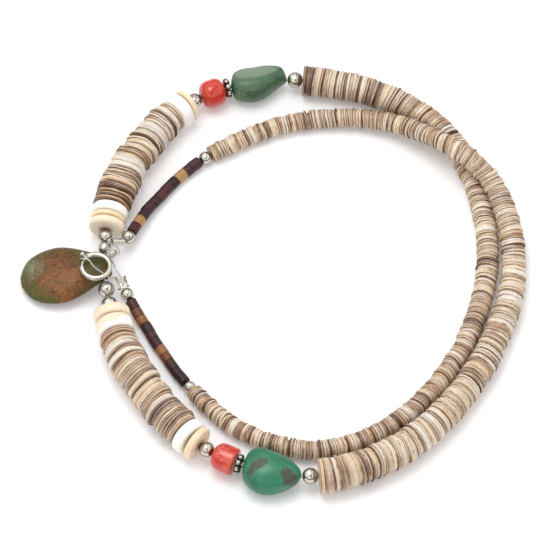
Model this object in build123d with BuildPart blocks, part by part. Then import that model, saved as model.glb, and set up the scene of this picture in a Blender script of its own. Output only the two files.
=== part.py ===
from build123d import *
import math
import os
from collections import namedtuple

# Heishi bead necklace lying on a flat surface in a double coil, all sizes in millimetres.
# One strand runs from the clasp's eye, round the coil to the stone drop, and round again to the clasp.
# Origin at the middle of the necklace on the surface, +Z up, the drop on the low X side.
# "right" is the half that leaves the drop towards +Y, "left" the half that leaves it towards -Y.

os.makedirs("parts", exist_ok=True)

# Wire, drilled holes and the room between neighbours
WIRE_D = 0.38
BORE_D = 0.74
BEAD_GAP = 0.10
DISC_GAP = 0.28
# Rounding of the large discs' rims, as a share of their thickness
RIM_ROUND = 0.32

# The strand's corners as X, Y, Z, from the end at the clasp's eye to the end at the wire loop
ROUTE = (
    (-31.1, 9.05, 3.7), (-28.3, 15.5, 2.6), (-23.85, 21.9, 1.5), (-19.45, 27.4, 1.25),
    (-14.75, 31.25, 1.85), (-9.15, 34.55, 2.05), (-2.45, 38.05, 2.1), (3.45, 40.05, 2.1),
    (11.85, 41.35, 2.2), (20.25, 40.75, 2.7), (26.55, 38.65, 3.8), (32.45, 34.85, 5.6),
    (37.05, 30.95, 7.4), (41.25, 27.55, 7.8), (45.05, 23.75, 6.95), (47.65, 19.15, 5.6),
    (49.65, 13.15, 4.25), (50.55, 6.15, 3.15), (50.25, -2.45, 2.95), (48.35, -9.85, 3.1),
    (44.95, -18.85, 3.2), (40.35, -27.55, 3.3), (33.95, -36.25, 3.6), (26.65, -42.85, 3.7),
    (18.35, -47.35, 3.85), (9.95, -49.65, 3.95), (2.45, -49.25, 3.75), (-6.25, -46.95, 3.65),
    (-14.05, -43.15, 3.9), (-18.85, -39.0, 4.25), (-24.05, -31.65, 4.15), (-29.05, -24.15, 4.2),
    (-32.9, -15.35, 4.15), (-34.35, -6.85, 3.9), (-35.35, -2.3, 3.8),
    (-35.45, 2.75, 3.8),
    (-35.5, 10.75, 3.85), (-34.65, 15.35, 4.0), (-33.25, 20.95, 4.2), (-30.65, 27.95, 4.2),
    (-26.35, 34.85, 4.1), (-21.3, 40.65, 4.1), (-16.55, 45.05, 3.6), (-11.25, 47.65, 3.3),
    (-3.45, 49.55, 3.3), (4.25, 50.35, 3.3), (11.85, 49.35, 3.25), (18.75, 47.85, 3.1),
    (25.75, 45.15, 2.95), (32.15, 40.85, 2.85), (36.95, 35.95, 2.75), (40.05, 30.75, 2.65),
    (42.65, 23.75, 2.55), (44.45, 15.85, 2.5), (45.25, 7.25, 2.5), (44.35, -2.15, 2.45),
    (42.05, -11.05, 2.4), (38.25, -19.75, 2.35), (32.35, -28.75, 2.3), (24.35, -36.55, 2.3),
    (15.75, -41.05, 2.3), (6.65, -42.35, 2.25), (-2.05, -39.85, 2.2), (-8.95, -35.75, 2.15),
    (-14.15, -30.35, 2.0), (-17.85, -25.85, 1.8), (-21.25, -20.65, 1.3), (-24.95, -14.25, 1.3),
    (-27.25, -9.85, 1.5), (-29.95, -4.8, 2.2), (-31.4, -2.3, 3.2),
)
DROP_POINT = 35
CORNER_SHARE = 0.45

# Wire loops that hold the strand's ends, from one crimp leg round to the other
EYE_LOOP = (
    (-31.5, 9.09, 4.0), (-34.2, 8.43, 5.13), (-34.8, 7.8, 5.4), (-34.85, 5.3, 6.4),
    (-33.1, 3.2, 6.85), (-32.1, 4.4, 6.8), (-32.9, 6.2, 6.35), (-33.6, 6.9, 5.9),
    (-34.3, 7.45, 5.4), (-34.1, 8.05, 5.13), (-31.4, 8.71, 4.0),
)
RING_LOOP = (
    (-31.64, -2.16, 3.34), (-32.4, -0.26, 4.42), (-33.2, -0.6, 4.8), (-34.45, -1.35, 5.6),
    (-36.15, -0.15, 6.4), (-37.35, 0.3, 6.95), (-38.1, 1.0, 7.3), (-38.65, 2.05, 7.55),
    (-39.8, 2.35, 7.6), (-40.6, 2.65, 7.0), (-40.5, 3.15, 5.85), (-39.15, 4.8, 5.7),
    (-36.95, 5.3, 5.65), (-35.05, 4.55, 5.3), (-33.6, 3.05, 5.05), (-32.9, 0.75, 4.85),
    (-32.01, -0.1, 4.42), (-31.25, -2.0, 3.34),
)

# Beads in order from the drop outwards: room before the bead, length along the wire, diameter
Bead = namedtuple("Bead", "name form gap length diameter")
RIGHT_FRONT = (
    Bead("silver_bead_1", "ball", 0.35, 2.75, 2.75),
    Bead("silver_bead_2", "ball", BEAD_GAP, 2.9, 2.9),
    Bead("cream_disc_1", "disc", BEAD_GAP, 1.8, 7.7),
    Bead("cream_disc_2", "disc", DISC_GAP, 1.05, 7.4),
    Bead("white_disc_1", "disc", DISC_GAP, 2.1, 7.7),
    Bead("thick_heishi", "heishi", DISC_GAP, 26.7, 8.1),
    Bead("white_disc_2", "disc", DISC_GAP, 2.85, 7.7),
    Bead("cream_disc_3", "disc", DISC_GAP, 1.15, 7.5),
    Bead("silver_bead_3", "ball", BEAD_GAP, 3.1, 3.1),
    Bead("coral_bead", "coral", 0.12, 5.1, 5.9),
    Bead("silver_spacer", "spacer", 0.34, 1.2, 4.4),
    Bead("turquoise_nugget", "nugget", 0.25, 11.85, 7.5),
    Bead("silver_bead_4", "ball", 0.15, 3.3, 3.3),
)
LEFT_FRONT = (
    Bead("silver_bead_1", "ball", 0.85, 3.45, 3.45),
    Bead("silver_bead_2", "ball", 0.45, 3.35, 3.35),
    Bead("cream_disc_1", "disc", BEAD_GAP, 2.4, 7.8),
    Bead("white_disc_1", "disc", DISC_GAP, 3.5, 7.8),
    Bead("thick_heishi", "heishi", 0.33, 27.6, 7.9),
    Bead("white_disc_2", "disc", 0.40, 2.5, 7.9),
    Bead("cream_disc_2", "disc", 0.42, 1.6, 7.7),
    Bead("silver_bead_3", "ball", BEAD_GAP, 3.2, 3.2),
    Bead("coral_bead", "coral", BEAD_GAP, 5.1, 6.0),
    Bead("silver_spacer", "spacer", 0.24, 1.2, 4.4),
    Bead("turquoise_nugget", "nugget", 0.35, 12.43, 10.2),
    Bead("silver_bead_4", "ball", 0.20, 3.5, 3.5),
)
# Beads in order from the clasp end inwards
RIGHT_REAR = (
    Bead("silver_bead_6", "ball", BEAD_GAP, 2.75, 2.75),
    Bead("dark_heishi", "heishi", 0.12, 23.3, 2.4),
    Bead("silver_bead_5", "ball", BEAD_GAP, 2.7, 2.7),
)
LEFT_REAR = (
    Bead("silver_bead_6", "ball", BEAD_GAP, 2.85, 2.85),
    Bead("dark_heishi", "heishi", BEAD_GAP, 23.9, 2.4),
    Bead("silver_bead_5", "ball", BEAD_GAP, 2.75, 2.75),
)

# Thick and dark heishi: mean bead length, diameter at the far end, and lengths as shares of the mean
THICK_PITCH = 0.95
THICK_GAP = 0.28
RIGHT_THICK_END_D = 7.1
LEFT_THICK_END_D = 7.8
THICK_SHARES = (1.0, 0.85, 1.15, 0.95, 1.1, 0.8, 1.15)
DARK_PITCH = 2.2
DARK_GAP = 0.22
DARK_SHARES = (1.1, 0.8, 1.2, 0.9, 1.0)

# Body strings of graduated heishi: largest and smallest diameter, and the steps between them
RIGHT_BODY_D = 6.5
LEFT_BODY_D = 7.7
BODY_END_D = 3.7
# share of the string's length, share of the diameter's loss that is still to come
RIGHT_TAPER = (
    (0.0, 1.0), (0.06, 0.89), (0.11, 0.75), (0.16, 0.68), (0.22, 0.57), (0.27, 0.46), (0.33, 0.39),
    (0.40, 0.39), (0.50, 0.32), (0.60, 0.25), (0.74, 0.25), (0.83, 0.18), (0.91, 0.10), (1.0, 0.0),
)
LEFT_TAPER = (
    (0.0, 1.0), (0.05, 0.93), (0.15, 0.83), (0.21, 0.73), (0.25, 0.65), (0.34, 0.59), (0.40, 0.49),
    (0.47, 0.37), (0.53, 0.27), (0.57, 0.19), (0.66, 0.12), (0.85, 0.09), (1.0, 0.0),
)

# Stone drop: its size, where the hole goes through, and how it lies
DROP_LENGTH = 19.25
DROP_WIDTH = 13.5
DROP_THICK = 4.8
DROP_HOLE_TO_TIP = 1.35
DROP_TURN = 8.3
DROP_RISE = 7.15
# share of the length, share of the width, share of the thickness
DROP_SECTIONS = (
    (0.0, 0.16, 0.10), (0.03, 0.38, 0.33), (0.10, 0.68, 0.62), (0.20, 0.87, 0.84), (0.32, 0.97, 0.96),
    (0.44, 1.0, 1.0), (0.56, 0.93, 0.97), (0.68, 0.79, 0.89), (0.80, 0.61, 0.78), (0.90, 0.49, 0.66),
    (0.97, 0.39, 0.48), (1.0, 0.20, 0.20),
)

# Turquoise nuggets: heights, and sections along the bead
RIGHT_NUGGET_HEIGHT = 6.4
LEFT_NUGGET_HEIGHT = 7.1
# share of the length, of the width, of the height, sideways shift and lift as shares of the width
RIGHT_NUGGET_SECTIONS = (
    (0.0, 0.32, 0.38, -0.02, 0.0), (0.03, 0.54, 0.60, -0.01, 0.0), (0.10, 0.76, 0.84, 0.0, 0.0),
    (0.25, 0.96, 0.98, 0.01, 0.0), (0.40, 1.0, 1.0, 0.0, 0.0), (0.60, 0.92, 0.96, 0.06, 0.0),
    (0.75, 0.76, 0.85, 0.10, 0.01), (0.90, 0.56, 0.68, 0.12, 0.02), (0.97, 0.43, 0.53, 0.09, 0.03),
    (1.0, 0.28, 0.36, 0.06, 0.03),
)
LEFT_NUGGET_SECTIONS = (
    (0.0, 0.24, 0.28, 0.0, 0.0), (0.03, 0.50, 0.52, 0.0, 0.0), (0.10, 0.74, 0.73, -0.01, 0.0),
    (0.20, 0.92, 0.90, -0.03, 0.0), (0.36, 1.0, 1.0, -0.05, 0.0), (0.55, 0.93, 0.96, -0.05, 0.0),
    (0.74, 0.71, 0.81, -0.05, 0.0), (0.90, 0.43, 0.56, -0.03, 0.0), (0.97, 0.29, 0.39, -0.01, 0.0),
    (1.0, 0.18, 0.25, 0.0, 0.0),
)
# The right nugget is worn flat on its upper back: tilt of the flat and its height above the middle
FLAT_TILT = 26.0
FLAT_HEIGHT = 2.55
NUGGET_CORNER = 0.80

# Coral beads: rounding at the two ends as shares of the diameter
CORAL_ROUND_NEAR = 0.30
RIGHT_CORAL_ROUND_FAR = 0.22
LEFT_CORAL_ROUND_FAR = 0.04

# Silver spacers: small balls soldered round a collar
SPACER_BALLS = 8
SPACER_BALL_D = 1.2

# Crimps on the wire's ends
ROUND_CRIMP_D = 1.25
CRIMP_WALL = 0.13
ROUND_CRIMP_LENGTH = 2.75
FLAT_CRIMP_WIDTH = 2.0
FLAT_CRIMP_THICK = 0.95
FLAT_CRIMP_LENGTH = 2.0

# Spring ring clasp: a bored tube bent to a ring, lying level above the drop's narrow end
RING_CENTER = (-37.26, 0.9, 6.8)
RING_R = 2.95
TUBE_D = 1.10
TUBE_BORE_D = 0.80
GAP_FROM = 128.0
GAP_TO = 186.0
EYE_D = 2.5
EYE_WIRE_D = 0.55
EYE_OUT = 4.62
EYE_AT = 40.0
# The bolt slides in the tube and closes the gap; its knob runs in a slot on the outer side
BOLT_D = 0.54
BOLT_ENTRY = 4.0
BOLT_TAIL = 72.0
BOLT_TRAVEL = 50.0
SOCKET_DEPTH = 12.0
KNOB_D = 1.1
KNOB_NECK_D = 0.40
KNOB_AT = 133.0
KNOB_ROOM = 0.10
SLOT_ROOM = 0.14


def corner_radius(before, corner, after):
    """Radius of the arc that takes its share of the shorter run beside a corner."""
    run_in = Vector(*corner) - Vector(*before)
    run_out = Vector(*after) - Vector(*corner)
    half_turn = math.radians(run_in.get_angle(run_out)) / 2
    return CORNER_SHARE * min(run_in.length, run_out.length) / math.tan(half_turn)


def wire_path(points):
    """Straight runs joined by tangent arcs."""
    radii = [corner_radius(*points[i - 1:i + 2]) for i in range(1, len(points) - 1)]
    print("radii", [round(radius, 1) for radius in radii])
    with BuildLine() as path:
        FilletPolyline(*points, radius=radii)
    return path.wire()


route = wire_path(ROUTE)
route_edges = route.order_edges()
# Corner number n of the route is edge number 2n - 1, so the drop's hole is at the middle of that arc
drop_arc = 2 * DROP_POINT - 1
HOLE_AT = sum(edge.length for edge in route_edges[:drop_arc]) + route_edges[drop_arc].length / 2
HALF_LENGTH = {1: route.length - HOLE_AT, -1: HOLE_AT}
print("strand length", round(route.length, 2), "hole at", round(HOLE_AT, 2))


def station(side, distance):
    """Plane across the strand: Z along the wire away from the drop, X level, Y upwards."""
    share = (HOLE_AT + side * distance) / route.length
    along = route.tangent_at(share) * side
    return Plane(origin=route.position_at(share), x_dir=Vector(0, 0, 1).cross(along), z_dir=along)


def chord(side, start, end):
    """Plane at the start of a long bead, its Z towards the bead's other end."""
    first = station(side, start).origin
    along = (station(side, end).origin - first).normalized()
    return Plane(origin=first, x_dir=Vector(0, 0, 1).cross(along), z_dir=along)


def keep(piece, name):
    """Label a finished piece and write it."""
    piece.part.label = name
    export_step(piece.part, f"parts/{name}.step")
    print(name, len(piece.part.solids()), round(piece.part.volume, 2))


def strand_between(side, start, end):
    """The stretch of the route between two distances from the drop's hole, in the route's own order."""
    ends = sorted((HOLE_AT + side * start, HOLE_AT + side * end))
    return route.trim(ends[0] / route.length, ends[1] / route.length)


def bored_along(piece, side, start, end):
    """Drill a long bead along the wire's own bend."""
    drill_path = strand_between(side, start - BORE_D, end + BORE_D)
    with BuildPart() as drill:
        with BuildSketch(Plane(origin=drill_path @ 0, z_dir=drill_path % 0)):
            Circle(BORE_D / 2)
        sweep(path=drill_path)
    with BuildPart() as bored:
        add(piece.part)
        add(drill.part, mode=Mode.SUBTRACT)
    return bored


def ball(name, side, start, bead):
    """Drilled silver ball."""
    with BuildPart(station(side, start + bead.length / 2)) as piece:
        Sphere(bead.diameter / 2)
        Cylinder(BORE_D / 2, bead.diameter, mode=Mode.SUBTRACT)
    keep(piece, name)


def disc(name, side, start, bead):
    """Drilled shell or stone disc with rounded rims."""
    with BuildPart(station(side, start + bead.length / 2)) as piece:
        Cylinder(bead.diameter / 2, bead.length)
        fillet(piece.edges(), radius=RIM_ROUND * bead.length)
        Cylinder(BORE_D / 2, bead.length, mode=Mode.SUBTRACT)
    keep(piece, name)


def heishi(name, side, start, bead):
    """String of loose drilled discs, each turned to follow the wire."""
    dark = "dark" in name
    pitch = DARK_PITCH if dark else THICK_PITCH
    gap = DARK_GAP if dark else THICK_GAP
    shares = DARK_SHARES if dark else THICK_SHARES
    end_d = bead.diameter
    if not dark:
        end_d = RIGHT_THICK_END_D if side > 0 else LEFT_THICK_END_D
    count = round((bead.length + gap) / pitch)
    pattern = [shares[i % len(shares)] for i in range(count)]
    unit = (bead.length - (count - 1) * gap) / sum(pattern)
    at = start
    with BuildPart() as piece:
        for i, share in enumerate(pattern):
            thick = unit * share
            diameter = bead.diameter + (end_d - bead.diameter) * i / (count - 1)
            with BuildSketch(station(side, at + thick / 2)):
                Circle(diameter / 2)
                Circle(BORE_D / 2, mode=Mode.SUBTRACT)
            extrude(amount=thick / 2, both=True)
            at += thick + gap
    keep(piece, name)


def coral(name, side, start, bead):
    """Coral barrel, rounded towards the drop and on one bead cut flat at the other end."""
    far = RIGHT_CORAL_ROUND_FAR if side > 0 else LEFT_CORAL_ROUND_FAR
    base = chord(side, start, start + bead.length)
    with BuildPart(base) as piece:
        Cylinder(bead.diameter / 2, bead.length, align=(Align.CENTER, Align.CENTER, Align.MIN))
        along = Axis(base.origin, base.z_dir)
        fillet(piece.edges().sort_by(along)[0], radius=CORAL_ROUND_NEAR * bead.diameter)
        fillet(piece.edges().sort_by(along)[-1], radius=far * bead.diameter)
    keep(bored_along(piece, side, start, start + bead.length), name)


def spacer(name, side, start, bead):
    """Ring of small silver balls round a collar, soldered into one piece."""
    ring_r = (bead.diameter - SPACER_BALL_D) / 2
    with BuildPart(station(side, start + bead.length / 2)) as piece:
        Cylinder(ring_r, 0.5 * bead.length)
        with PolarLocations(ring_r, SPACER_BALLS):
            Sphere(SPACER_BALL_D / 2)
        Cylinder(BORE_D / 2, bead.length, mode=Mode.SUBTRACT)
    keep(piece, name)


def nugget(name, side, start, bead):
    """Turquoise pebble lofted through rounded sections, drilled along the wire."""
    sections = RIGHT_NUGGET_SECTIONS if side > 0 else LEFT_NUGGET_SECTIONS
    height = RIGHT_NUGGET_HEIGHT if side > 0 else LEFT_NUGGET_HEIGHT
    base = chord(side, start, start + bead.length)
    with BuildPart() as piece:
        for along, wide, high, shift, lift in sections:
            section_w = wide * bead.diameter
            section_h = high * height
            with BuildSketch(base.offset(along * bead.length)):
                with Locations((shift * bead.diameter, lift * bead.diameter)):
                    RectangleRounded(section_w, section_h, NUGGET_CORNER * min(section_w, section_h) / 2)
        loft()
        if side > 0:
            tilt = math.radians(FLAT_TILT)
            normal = base.x_dir * math.sin(tilt) + base.y_dir * math.cos(tilt)
            split(bisect_by=Plane(origin=base.origin + normal * FLAT_HEIGHT, z_dir=normal), keep=Keep.BOTTOM)
    keep(bored_along(piece, side, start, start + bead.length), name)


def diameter_at(side, share):
    """Diameter of a body string at a share of its length."""
    taper = RIGHT_TAPER if side > 0 else LEFT_TAPER
    start_d = RIGHT_BODY_D if side > 0 else LEFT_BODY_D
    for (share_0, part_0), (share_1, part_1) in zip(taper, taper[1:]):
        if share <= share_1:
            part = part_0 + (part_1 - part_0) * (share - share_0) / (share_1 - share_0)
            return BODY_END_D + (start_d - BODY_END_D) * part
    return BODY_END_D


def body_string(name, side, start, end):
    """Graduated string as one bored solid: cones on the straight runs, ring arcs between them."""
    edges = strand_between(side, start, end).order_edges()
    length = sum(edge.length for edge in edges)
    marks = [0.0]
    for edge in edges:
        marks.append(marks[-1] + edge.length)
    shares = [mark / length if side > 0 else 1 - mark / length for mark in marks]
    middles = [(a + b) / 2 for a, b in zip(shares, shares[1:])]
    with BuildPart() as piece:
        for i, edge in enumerate(edges):
            tangent = edge % 0
            first = edge @ 0
            if edge.geom_type == GeomType.LINE:
                d_0 = diameter_at(side, middles[i - 1] if i > 0 else shares[i])
                d_1 = diameter_at(side, middles[i + 1] if i < len(edges) - 1 else shares[i + 1])
                bore, run = BORE_D / 2, edge.length
                half_section = ((0, bore), (run, bore), (run, d_1 / 2), (0, d_0 / 2))
                with BuildSketch(Plane(origin=first, x_dir=tangent, z_dir=tangent.cross(Vector(0, 0, 1)))):
                    Polygon(*half_section, align=None)
                revolve(axis=Axis(first, tangent))
            else:
                turn_axis = (first - edge.arc_center).cross(tangent)
                with BuildSketch(Plane(origin=first, z_dir=tangent)):
                    Circle(diameter_at(side, middles[i]) / 2)
                    Circle(BORE_D / 2, mode=Mode.SUBTRACT)
                revolve(axis=Axis(edge.arc_center, turn_axis),
                        revolution_arc=math.degrees(edge.length / edge.radius))
    keep(piece, name)


MAKERS = {"ball": ball, "disc": disc, "heishi": heishi, "coral": coral, "spacer": spacer, "nugget": nugget}


def half_strand(word, side, front, rear, first_at):
    """All beads of one half: the front beads, the clasp-end beads, and the body string between."""
    at = first_at
    for bead in front:
        at += bead.gap
        MAKERS[bead.form](f"{word}_{bead.name}", side, at, bead)
        at += bead.length
    end = HALF_LENGTH[side]
    for bead in rear:
        end -= bead.gap + bead.length
        MAKERS[bead.form](f"{word}_{bead.name}", side, end, bead)
    body_string(f"{word}_body_heishi", side, at + BEAD_GAP, end - BEAD_GAP)


def drop_half_width():
    """Half of the drop's width at its hole."""
    share = 1 - DROP_HOLE_TO_TIP / DROP_LENGTH
    for (share_0, wide_0, _), (share_1, wide_1, _) in zip(DROP_SECTIONS, DROP_SECTIONS[1:]):
        if share <= share_1:
            return DROP_WIDTH / 2 * (wide_0 + (wide_1 - wide_0) * (share - share_0) / (share_1 - share_0))


def stone_drop():
    """Flat drop lofted through ellipses, its wide end on the surface, drilled crosswise for the wire."""
    rise = math.radians(DROP_RISE)
    turn = math.radians(DROP_TURN)
    axis = Vector(math.cos(rise) * math.cos(turn), math.cos(rise) * math.sin(turn), math.sin(rise))
    hole = station(1, 0)
    wide_end = hole.origin - axis * (DROP_LENGTH - DROP_HOLE_TO_TIP)
    base = Plane(origin=wide_end, x_dir=Vector(0, 0, 1).cross(axis), z_dir=axis)
    with BuildPart() as piece:
        for along, wide, thick in DROP_SECTIONS:
            with BuildSketch(base.offset(along * DROP_LENGTH)):
                Ellipse(wide * DROP_WIDTH / 2, thick * DROP_THICK / 2)
        loft()
        with BuildSketch(hole):
            Circle(BORE_D / 2)
        extrude(amount=DROP_WIDTH, both=True, mode=Mode.SUBTRACT)
    keep(piece, "stone_drop")


def wire(name, path):
    """Round wire along a path, its volume set against section times length."""
    with BuildPart() as piece:
        with BuildSketch(Plane(origin=path @ 0, z_dir=path % 0)):
            Circle(WIRE_D / 2)
        sweep(path=path)
    keep(piece, name)
    print("  section times length", round(math.pi * WIRE_D ** 2 / 4 * path.length, 2))


def crimp_plane(loop):
    """Plane at a crimp's mouth, midway between the two legs of its loop, Z along the legs."""
    first, second = Vector(*loop[0]), Vector(*loop[-1])
    along = (Vector(*loop[1]) - first).normalized()
    across = (second - first).normalized()
    return Plane(origin=(first + second) * 0.5, x_dir=across, z_dir=along)


def crimps():
    """A round crimp tube at the eye and a squeezed one at the ring, each on two legs of wire."""
    with BuildPart(crimp_plane(EYE_LOOP)) as piece:
        Cylinder(ROUND_CRIMP_D / 2, ROUND_CRIMP_LENGTH, align=(Align.CENTER, Align.CENTER, Align.MIN))
        Cylinder(ROUND_CRIMP_D / 2 - CRIMP_WALL, ROUND_CRIMP_LENGTH,
                 align=(Align.CENTER, Align.CENTER, Align.MIN), mode=Mode.SUBTRACT)
    keep(piece, "left_crimp")
    with BuildPart() as piece:
        with BuildSketch(crimp_plane(RING_LOOP)):
            outline = SlotOverall(FLAT_CRIMP_WIDTH, FLAT_CRIMP_THICK)
            offset(outline, amount=-CRIMP_WALL, mode=Mode.SUBTRACT)
        extrude(amount=FLAT_CRIMP_LENGTH)
    keep(piece, "right_crimp")


def radial(angle):
    """Level direction from the clasp ring's centre at an angle from +X."""
    return Vector(math.cos(math.radians(angle)), math.sin(math.radians(angle)), 0)


def ring_section(angle):
    """Plane across the clasp's tube at an angle: X outwards, Y up, origin at the ring's centre."""
    return Plane(origin=RING_CENTER, x_dir=radial(angle), z_dir=radial(angle - 90))


RING_AXIS = Axis(RING_CENTER, (0, 0, 1))


def clasp_ring():
    """Bored ring tube with a gap, a slot for the knob, a socket for the bolt and a soldered eye."""
    eye_center = Vector(*RING_CENTER) + radial(EYE_AT) * EYE_OUT
    bore_from = BOLT_TAIL - BOLT_TRAVEL - math.degrees(2 * SLOT_ROOM / RING_R)
    slot_from = KNOB_AT - BOLT_TRAVEL - math.degrees((KNOB_NECK_D / 2 + SLOT_ROOM) / RING_R)
    with BuildPart() as piece:
        with BuildSketch(ring_section(GAP_TO)):
            with Locations((RING_R, 0)):
                Circle(TUBE_D / 2)
        revolve(axis=RING_AXIS, revolution_arc=360 - (GAP_TO - GAP_FROM))
        with BuildSketch(Plane(origin=eye_center, x_dir=radial(EYE_AT), z_dir=(0, 0, 1))):
            with Locations(((EYE_D - EYE_WIRE_D) / 2, 0)):
                Circle(EYE_WIRE_D / 2)
        revolve(axis=Axis(eye_center, radial(EYE_AT + 90)))
        with BuildSketch(ring_section(bore_from)):
            with Locations((RING_R, 0)):
                Circle(TUBE_BORE_D / 2)
        revolve(axis=RING_AXIS, revolution_arc=GAP_FROM - bore_from, mode=Mode.SUBTRACT)
        with BuildSketch(ring_section(GAP_TO)):
            with Locations((RING_R, 0)):
                Circle(TUBE_BORE_D / 2)
        revolve(axis=RING_AXIS, revolution_arc=SOCKET_DEPTH, mode=Mode.SUBTRACT)
        with BuildSketch(ring_section(slot_from)):
            with Locations((RING_R, 0)):
                Rectangle(TUBE_D, KNOB_NECK_D + 2 * SLOT_ROOM, align=(Align.MIN, Align.CENTER))
        revolve(axis=RING_AXIS, revolution_arc=GAP_FROM - slot_from, mode=Mode.SUBTRACT)
    keep(piece, "clasp_ring")


def clasp_bolt():
    """Bolt wire that closes the ring's gap, with a knob on a neck to pull it back."""
    knob_out = RING_R + TUBE_D / 2 + KNOB_ROOM + KNOB_D / 2
    knob_plane = Plane(origin=RING_CENTER, x_dir=radial(KNOB_AT + 90), z_dir=radial(KNOB_AT))
    with BuildPart() as piece:
        with BuildSketch(ring_section(BOLT_TAIL)):
            with Locations((RING_R, 0)):
                Circle(BOLT_D / 2)
        revolve(axis=RING_AXIS, revolution_arc=GAP_TO + BOLT_ENTRY - BOLT_TAIL)
        with BuildSketch(knob_plane.offset(RING_R)):
            Circle(KNOB_NECK_D / 2)
        extrude(amount=knob_out - RING_R)
        with Locations(knob_plane.offset(knob_out)):
            Sphere(KNOB_D / 2)
    keep(piece, "clasp_bolt")


half_strand("right", 1, RIGHT_FRONT, RIGHT_REAR, drop_half_width())
half_strand("left", -1, LEFT_FRONT, LEFT_REAR, drop_half_width())
stone_drop()
wire("strand_wire", route)
wire("left_wire_loop", wire_path(EYE_LOOP))
wire("right_wire_loop", wire_path(RING_LOOP))
crimps()
clasp_ring()
clasp_bolt()
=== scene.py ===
import math

import bpy
import numpy as np
from bpy.props import FloatProperty, FloatVectorProperty, IntProperty, PointerProperty
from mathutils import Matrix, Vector


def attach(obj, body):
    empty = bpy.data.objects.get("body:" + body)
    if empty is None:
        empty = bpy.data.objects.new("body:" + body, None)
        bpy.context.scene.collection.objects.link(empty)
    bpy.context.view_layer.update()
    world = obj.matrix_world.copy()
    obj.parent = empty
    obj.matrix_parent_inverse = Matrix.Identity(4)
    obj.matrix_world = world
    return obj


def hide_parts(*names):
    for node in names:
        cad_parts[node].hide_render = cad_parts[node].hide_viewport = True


bl_info = {
    "name": "Heishi Bead Necklace",
    "version": (1, 0, 0),
    "blender": (4, 5, 0),
    "location": "View3D > Sidebar > Necklace",
    "description": "Beads, stones, wire and finishes of a heishi necklace that lies in a double coil",
    "category": "Object",
}

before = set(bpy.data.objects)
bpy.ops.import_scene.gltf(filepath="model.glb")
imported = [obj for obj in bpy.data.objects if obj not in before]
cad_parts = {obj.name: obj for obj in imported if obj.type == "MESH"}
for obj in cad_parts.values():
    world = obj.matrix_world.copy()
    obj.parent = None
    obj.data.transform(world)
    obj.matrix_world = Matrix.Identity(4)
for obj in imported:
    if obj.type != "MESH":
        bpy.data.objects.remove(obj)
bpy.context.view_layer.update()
MM = 0.001

# The strand's control points in millimetres, from the end at the clasp's eye to the end at the wire loop
ROUTE = (
    (-31.1, 9.05, 3.7), (-28.3, 15.5, 2.6), (-23.85, 21.9, 1.5), (-19.45, 27.4, 1.25),
    (-14.75, 31.25, 1.85), (-9.15, 34.55, 2.05), (-2.45, 38.05, 2.1), (3.45, 40.05, 2.1),
    (11.85, 41.35, 2.2), (20.25, 40.75, 2.7), (26.55, 38.65, 3.8), (32.45, 34.85, 5.6),
    (37.05, 30.95, 7.4), (41.25, 27.55, 7.8), (45.05, 23.75, 6.95), (47.65, 19.15, 5.6),
    (49.65, 13.15, 4.25), (50.55, 6.15, 3.15), (50.25, -2.45, 2.95), (48.35, -9.85, 3.1),
    (44.95, -18.85, 3.2), (40.35, -27.55, 3.3), (33.95, -36.25, 3.6), (26.65, -42.85, 3.7),
    (18.35, -47.35, 3.85), (9.95, -49.65, 3.95), (2.45, -49.25, 3.75), (-6.25, -46.95, 3.65),
    (-14.05, -43.15, 3.9), (-18.85, -39.0, 4.25), (-24.05, -31.65, 4.15), (-29.05, -24.15, 4.2),
    (-32.9, -15.35, 4.15), (-34.35, -6.85, 3.9), (-35.35, -2.3, 3.8),
    (-35.45, 2.75, 3.8),
    (-35.5, 10.75, 3.85), (-34.65, 15.35, 4.0), (-33.25, 20.95, 4.2), (-30.65, 27.95, 4.2),
    (-26.35, 34.85, 4.1), (-21.3, 40.65, 4.1), (-16.55, 45.05, 3.6), (-11.25, 47.65, 3.3),
    (-3.45, 49.55, 3.3), (4.25, 50.35, 3.3), (11.85, 49.35, 3.25), (18.75, 47.85, 3.1),
    (25.75, 45.15, 2.95), (32.15, 40.85, 2.85), (36.95, 35.95, 2.75), (40.05, 30.75, 2.65),
    (42.65, 23.75, 2.55), (44.45, 15.85, 2.5), (45.25, 7.25, 2.5), (44.35, -2.15, 2.45),
    (42.05, -11.05, 2.4), (38.25, -19.75, 2.35), (32.35, -28.75, 2.3), (24.35, -36.55, 2.3),
    (15.75, -41.05, 2.3), (6.65, -42.35, 2.25), (-2.05, -39.85, 2.2), (-8.95, -35.75, 2.15),
    (-14.15, -30.35, 2.0), (-17.85, -25.85, 1.8), (-21.25, -20.65, 1.3), (-24.95, -14.25, 1.3),
    (-27.25, -9.85, 1.5), (-29.95, -4.8, 2.2), (-31.4, -2.3, 3.2),
)
DROP_POINT = 35
EYE_LOOP = (
    (-31.5, 9.09, 4.0), (-34.2, 8.43, 5.13), (-34.8, 7.8, 5.4), (-34.85, 5.3, 6.4),
    (-33.1, 3.2, 6.85), (-32.1, 4.4, 6.8), (-32.9, 6.2, 6.35), (-33.6, 6.9, 5.9),
    (-34.3, 7.45, 5.4), (-34.1, 8.05, 5.13), (-31.4, 8.71, 4.0),
)
RING_LOOP = (
    (-31.64, -2.16, 3.34), (-32.4, -0.26, 4.42), (-33.2, -0.6, 4.8), (-34.45, -1.35, 5.6),
    (-36.15, -0.15, 6.4), (-37.35, 0.3, 6.95), (-38.1, 1.0, 7.3), (-38.65, 2.05, 7.55),
    (-39.8, 2.35, 7.6), (-40.6, 2.65, 7.0), (-40.5, 3.15, 5.85), (-39.15, 4.8, 5.7),
    (-36.95, 5.3, 5.65), (-35.05, 4.55, 5.3), (-33.6, 3.05, 5.05), (-32.9, 0.75, 4.85),
    (-32.01, -0.1, 4.42), (-31.25, -2.0, 3.34),
)
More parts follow.
